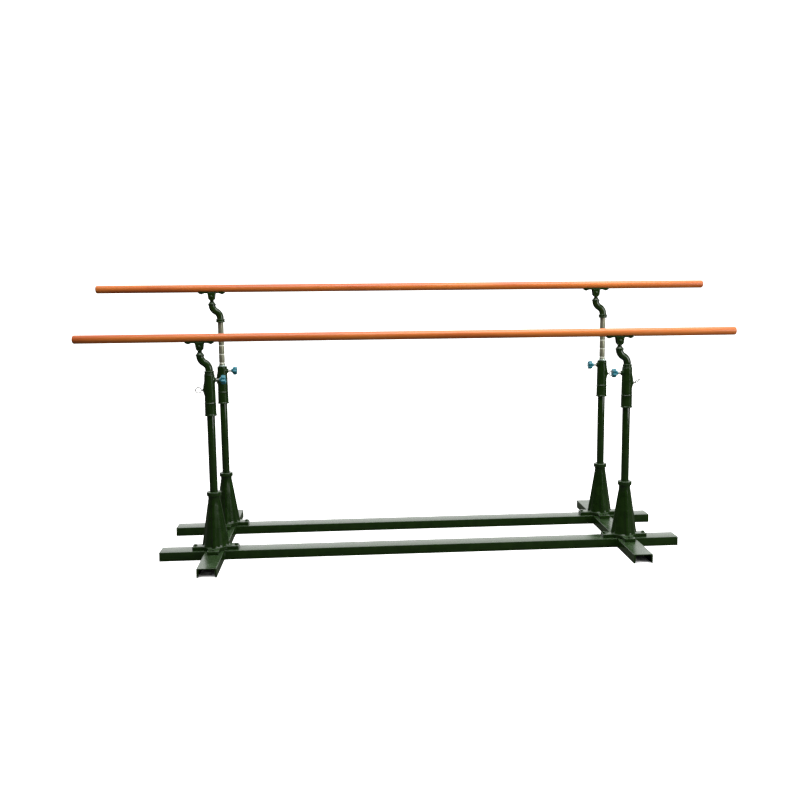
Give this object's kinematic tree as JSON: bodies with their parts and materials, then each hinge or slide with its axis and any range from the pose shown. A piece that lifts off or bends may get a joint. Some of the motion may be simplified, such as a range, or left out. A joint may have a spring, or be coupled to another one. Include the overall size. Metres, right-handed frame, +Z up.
{
  "type": "gymnastics parallel bars",
  "caption": "Free-standing gymnastics parallel bars: round rails on telescopic posts with swivelling S-arms, star knobs and pull pins, over a steel channel frame.",
  "frame": {"origin": "on the floor, under the middle of the rails' length and midway between the two rows of posts", "axes": "+X along the rails, +Y from the lowered front rail to the raised back rail, +Z up"},
  "size_m": [3.5, 1.16, 1.444],
  "materials": {
    "frame_enamel": "gloss dark green enamel on rolled steel",
    "casting_enamel": "gloss dark green enamel on cast metal",
    "rail_varnish": "orange satin coating over a laminated rail",
    "bright_steel": "bright drawn steel",
    "knob_plastic": "moulded blue plastic",
    "wire_steel": "plated spring wire"
  },
  "bodies": {
    "frame": {"foot_left": "frame_enamel", "foot_right": "frame_enamel", "beam_front_middle": "frame_enamel", "beam_front_left_end": "frame_enamel", "beam_front_right_end": "frame_enamel", "beam_back_middle": "frame_enamel", "beam_back_left_end": "frame_enamel", "beam_back_right_end": "frame_enamel", "pedestal_front_left": "casting_enamel", "post_front_left": "frame_enamel", "sleeve_front_left": "casting_enamel", "pedestal_front_right": "casting_enamel", "post_front_right": "frame_enamel", "sleeve_front_right": "casting_enamel", "pedestal_back_left": "casting_enamel", "post_back_left": "frame_enamel", "sleeve_back_left": "casting_enamel", "pedestal_back_right": "casting_enamel", "post_back_right": "frame_enamel", "sleeve_back_right": "casting_enamel"},
    "front_left_tube": {"inner_tube_front_left": "bright_steel"},
    "front_left_arm": {"arm_front_left": "casting_enamel"},
    "front_left_head": {"swivel_head_front_left": "casting_enamel", "cross_pin_front_left": "bright_steel"},
    "front_left_clamp_pad": {"clamp_pad_front_left": "bright_steel"},
    "front_left_knob": {"knob_front_left": "knob_plastic"},
    "front_left_pin": {"pull_pin_front_left": "bright_steel"},
    "front_left_ring": {"pull_ring_front_left": "wire_steel"},
    "front_right_tube": {"inner_tube_front_right": "bright_steel"},
    "front_right_arm": {"arm_front_right": "casting_enamel"},
    "front_right_head": {"swivel_head_front_right": "casting_enamel", "cross_pin_front_right": "bright_steel"},
    "front_right_clamp_pad": {"clamp_pad_front_right": "bright_steel"},
    "front_right_knob": {"knob_front_right": "knob_plastic"},
    "front_right_pin": {"pull_pin_front_right": "bright_steel"},
    "front_right_ring": {"pull_ring_front_right": "wire_steel"},
    "front_rail": {"rail_front": "rail_varnish", "saddle_front_left": "casting_enamel", "saddle_front_right": "casting_enamel"},
    "back_left_tube": {"inner_tube_back_left": "bright_steel"},
    "back_left_arm": {"arm_back_left": "casting_enamel"},
    "back_left_head": {"swivel_head_back_left": "casting_enamel", "cross_pin_back_left": "bright_steel"},
    "back_left_clamp_pad": {"clamp_pad_back_left": "bright_steel"},
    "back_left_knob": {"knob_back_left": "knob_plastic"},
    "back_left_pin": {"pull_pin_back_left": "bright_steel"},
    "back_left_ring": {"pull_ring_back_left": "wire_steel"},
    "back_right_tube": {"inner_tube_back_right": "bright_steel"},
    "back_right_arm": {"arm_back_right": "casting_enamel"},
    "back_right_head": {"swivel_head_back_right": "casting_enamel", "cross_pin_back_right": "bright_steel"},
    "back_right_clamp_pad": {"clamp_pad_back_right": "bright_steel"},
    "back_right_knob": {"knob_back_right": "knob_plastic"},
    "back_right_pin": {"pull_pin_back_right": "bright_steel"},
    "back_right_ring": {"pull_ring_back_right": "wire_steel"},
    "back_rail": {"rail_back": "rail_varnish", "saddle_back_left": "casting_enamel", "saddle_back_right": "casting_enamel"}
  },
  "joints": [
    {"name": "front_left_clamp_travel", "type": "slide", "parent": "frame", "child": "front_left_clamp_pad", "axis": [1, 0, 0], "range_m": [0, 0.0036]},
    {"name": "front_left_knob_turn", "type": "hinge", "parent": "front_left_clamp_pad", "child": "front_left_knob", "pos_m": [-1.066, -0.24, 0.953], "axis": [1, 0, 0], "range_deg": [0, 720]},
    {"name": "front_left_pin_pull", "type": "slide", "parent": "frame", "child": "front_left_pin", "axis": [-1, 0, 0], "range_m": [-0.0015, 0.008], "stiffness_N_per_m": 600, "springref_m": -0.0015},
    {"name": "front_left_ring_swing", "type": "hinge", "parent": "front_left_pin", "child": "front_left_ring", "pos_m": [-1.1105, -0.24, 0.9], "axis": [0, 0, 1], "range_deg": [-60, 60]},
    {"name": "front_right_clamp_travel", "type": "slide", "parent": "frame", "child": "front_right_clamp_pad", "axis": [-1, 0, 0], "range_m": [0, 0.0036]},
    {"name": "front_right_knob_turn", "type": "hinge", "parent": "front_right_clamp_pad", "child": "front_right_knob", "pos_m": [1.154, -0.24, 0.953], "axis": [-1, 0, 0], "range_deg": [0, 720]},
    {"name": "front_right_pin_pull", "type": "slide", "parent": "frame", "child": "front_right_pin", "axis": [1, 0, 0], "range_m": [-0.0015, 0.008], "stiffness_N_per_m": 600, "springref_m": -0.0015},
    {"name": "front_right_ring_swing", "type": "hinge", "parent": "front_right_pin", "child": "front_right_ring", "pos_m": [1.1985, -0.24, 0.9], "axis": [0, -1, 0], "range_deg": [-120, 30]},
    {"name": "front_height", "type": "slide", "parent": "frame", "child": "front_left_tube", "axis": [0, 0, 1], "range_m": [0, 0.5]},
    {"name": "front_right_end_rise", "type": "slide", "parent": "front_left_tube", "child": "front_right_tube", "axis": [0, 0, 1], "range_m": [0, 0.1]},
    {"name": "front_width_turn", "type": "hinge", "parent": "front_left_tube", "child": "front_left_arm", "pos_m": [-1.066, -0.24, 0.99], "axis": [0, 0, 1], "range_deg": [-90, 90]},
    {"name": "front_right_arm_turn", "type": "hinge", "parent": "front_right_tube", "child": "front_right_arm", "pos_m": [1.154, -0.24, 0.99], "axis": [0, 0, 1], "range_deg": [-90, 90]},
    {"name": "front_left_head_swivel", "type": "hinge", "parent": "front_left_arm", "child": "front_left_head", "pos_m": [-1.11, -0.24, 1.098], "axis": [0, 0, 1], "range_deg": [-90, 90]},
    {"name": "front_right_head_swivel", "type": "hinge", "parent": "front_right_arm", "child": "front_right_head", "pos_m": [1.11, -0.24, 1.098], "axis": [0, 0, 1], "range_deg": [-90, 90]},
    {"name": "front_rail_tilt", "type": "hinge", "parent": "front_left_head", "child": "front_rail", "pos_m": [-1.11, -0.24, 1.1265], "axis": [0, -1, 0], "range_deg": [0, 3]},
    {"name": "back_left_clamp_travel", "type": "slide", "parent": "frame", "child": "back_left_clamp_pad", "axis": [1, 0, 0], "range_m": [0, 0.0036]},
    {"name": "back_left_knob_turn", "type": "hinge", "parent": "back_left_clamp_pad", "child": "back_left_knob", "pos_m": [-1.066, 0.24, 0.953], "axis": [1, 0, 0], "range_deg": [0, 720]},
    {"name": "back_left_pin_pull", "type": "slide", "parent": "frame", "child": "back_left_pin", "axis": [-1, 0, 0], "range_m": [-0.0015, 0.008], "stiffness_N_per_m": 600, "springref_m": -0.0015},
    {"name": "back_left_ring_swing", "type": "hinge", "parent": "back_left_pin", "child": "back_left_ring", "pos_m": [-1.1105, 0.24, 0.9], "axis": [0, 0, 1], "range_deg": [-60, 60]},
    {"name": "back_right_clamp_travel", "type": "slide", "parent": "frame", "child": "back_right_clamp_pad", "axis": [-1, 0, 0], "range_m": [0, 0.0036]},
    {"name": "back_right_knob_turn", "type": "hinge", "parent": "back_right_clamp_pad", "child": "back_right_knob", "pos_m": [1.154, 0.24, 0.953], "axis": [-1, 0, 0], "range_deg": [0, 720]},
    {"name": "back_right_pin_pull", "type": "slide", "parent": "frame", "child": "back_right_pin", "axis": [1, 0, 0], "range_m": [-0.0015, 0.008], "stiffness_N_per_m": 600, "springref_m": -0.0015},
    {"name": "back_right_ring_swing", "type": "hinge", "parent": "back_right_pin", "child": "back_right_ring", "pos_m": [1.1985, 0.24, 0.9], "axis": [0, 0, 1], "range_deg": [-60, 60]},
    {"name": "back_height", "type": "slide", "parent": "frame", "child": "back_left_tube", "axis": [0, 0, 1], "range_m": [-0.25, 0.25]},
    {"name": "back_right_end_rise", "type": "slide", "parent": "back_left_tube", "child": "back_right_tube", "axis": [0, 0, 1], "range_m": [0, 0.1]},
    {"name": "back_width_turn", "type": "hinge", "parent": "back_left_tube", "child": "back_left_arm", "pos_m": [-1.066, 0.24, 0.99], "axis": [0, 0, 1], "range_deg": [-90, 90]},
    {"name": "back_right_arm_turn", "type": "hinge", "parent": "back_right_tube", "child": "back_right_arm", "pos_m": [1.154, 0.24, 0.99], "axis": [0, 0, 1], "range_deg": [-90, 90]},
    {"name": "back_left_head_swivel", "type": "hinge", "parent": "back_left_arm", "child": "back_left_head", "pos_m": [-1.11, 0.24, 1.098], "axis": [0, 0, 1], "range_deg": [-90, 90]},
    {"name": "back_right_head_swivel", "type": "hinge", "parent": "back_right_arm", "child": "back_right_head", "pos_m": [1.11, 0.24, 1.098], "axis": [0, 0, 1], "range_deg": [-90, 90]},
    {"name": "back_rail_tilt", "type": "hinge", "parent": "back_left_head", "child": "back_rail", "pos_m": [-1.11, 0.24, 1.3765], "axis": [0, -1, 0], "range_deg": [0, 3]}
  ],
  "couplings": [
    {"joint": "front_left_clamp_travel", "follows": "front_left_knob_turn", "m_per_rad": 0.00027852},
    {"joint": "front_right_clamp_travel", "follows": "front_right_knob_turn", "m_per_rad": 0.00027852},
    {"joint": "front_right_arm_turn", "follows": "front_width_turn", "ratio": 1},
    {"joint": "front_left_head_swivel", "follows": "front_width_turn", "ratio": -1},
    {"joint": "front_right_head_swivel", "follows": "front_width_turn", "ratio": -1},
    {"joint": "front_rail_tilt", "follows": "front_right_end_rise", "rad_per_m": 0.45045},
    {"joint": "back_left_clamp_travel", "follows": "back_left_knob_turn", "m_per_rad": 0.00027852},
    {"joint": "back_right_clamp_travel", "follows": "back_right_knob_turn", "m_per_rad": 0.00027852},
    {"joint": "back_right_arm_turn", "follows": "back_width_turn", "ratio": 1},
    {"joint": "back_left_head_swivel", "follows": "back_width_turn", "ratio": -1},
    {"joint": "back_right_head_swivel", "follows": "back_width_turn", "ratio": -1},
    {"joint": "back_rail_tilt", "follows": "back_right_end_rise", "rad_per_m": 0.45045}
  ]
}
